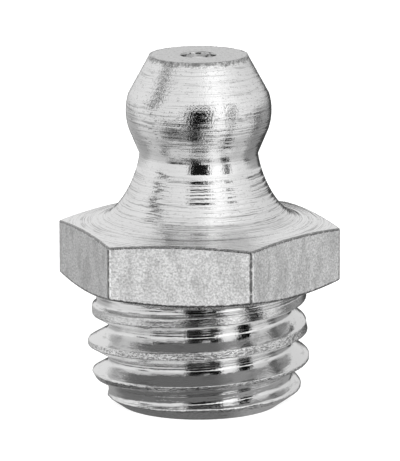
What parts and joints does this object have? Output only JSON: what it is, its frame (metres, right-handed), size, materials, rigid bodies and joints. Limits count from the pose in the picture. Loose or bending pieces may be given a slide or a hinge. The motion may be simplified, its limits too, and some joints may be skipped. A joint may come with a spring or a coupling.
{
  "type": "grease nipple",
  "caption": "Straight hydraulic grease nipple with a domed coupler head, flared waist, hexagon, coarse metric thread, and a sprung check ball under the inlet.",
  "frame": {"origin": "on the nipple's axis, in the plane of the seat, the flat ring under the hexagon", "axes": "+Z along the axis, out of the inlet in the head; -Y is the side that the first thread crest passes 0.84 mm below the seat"},
  "size_m": [0.0126, 0.0118, 0.0158],
  "materials": {
    "plated_steel": "bright zinc plate over turned steel: satin hexagon flats, glossy thread flanks",
    "ball_steel": "polished bearing steel",
    "spring_steel": "drawn spring wire"
  },
  "bodies": {
    "body": {"nipple_body": "plated_steel", "check_spring": "spring_steel"},
    "ball": {"check_ball": "ball_steel"}
  },
  "joints": [
    {"name": "ball_lift", "type": "slide", "parent": "body", "child": "ball", "axis": [0, 0, -1], "range_m": [0, 0.0012], "stiffness_N_per_m": 330, "springref_m": -0.0015, "deforming": ["check_spring"]}
  ]
}
